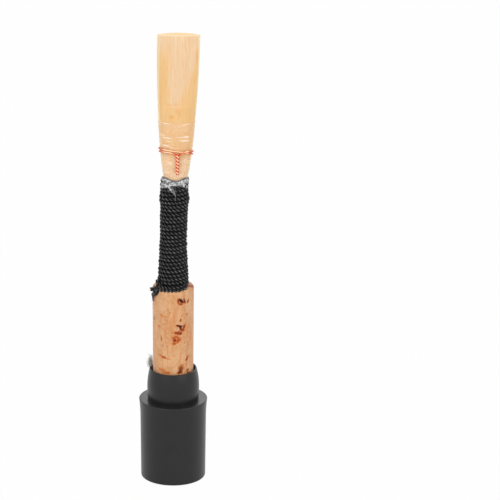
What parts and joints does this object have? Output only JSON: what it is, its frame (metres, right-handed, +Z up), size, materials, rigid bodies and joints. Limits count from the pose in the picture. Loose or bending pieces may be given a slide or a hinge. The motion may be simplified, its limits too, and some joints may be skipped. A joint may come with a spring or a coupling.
{
  "type": "oboe reed",
  "caption": "Double cane reed bound with thread and wire to a cork-covered staple, standing in a moulded holder.",
  "frame": {"origin": "centre of the holder's underside, which the part stands on", "axes": "+Z up along the reed to its tip; the blades' flat sides face -Y and +Y, and their width runs along X"},
  "size_m": [0.0116, 0.0116, 0.0784],
  "materials": {
    "black_moulding": "satin",
    "staple_brass": "polished",
    "cork": "sanded cork",
    "cane": "scraped cane, satin",
    "thread": "twisted nylon",
    "clear_film": "thin clear film",
    "copper_wire": "bright soft copper"
  },
  "bodies": {
    "holder": {"holder": "black_moulding"},
    "reed": {"staple_tube": "staple_brass", "cork_sleeve": "cork", "cane_blade_front": "cane", "cane_blade_back": "cane", "thread_bed": "thread", "thread_turns": "thread", "thread_knot": "thread", "film_wrap": "clear_film", "film_collar": "clear_film", "binding_wire": "copper_wire"}
  },
  "joints": [
    {"name": "reed_pull", "type": "slide", "parent": "holder", "child": "reed", "axis": [0, 0, 1], "range_m": [0, 0.013]}
  ]
}
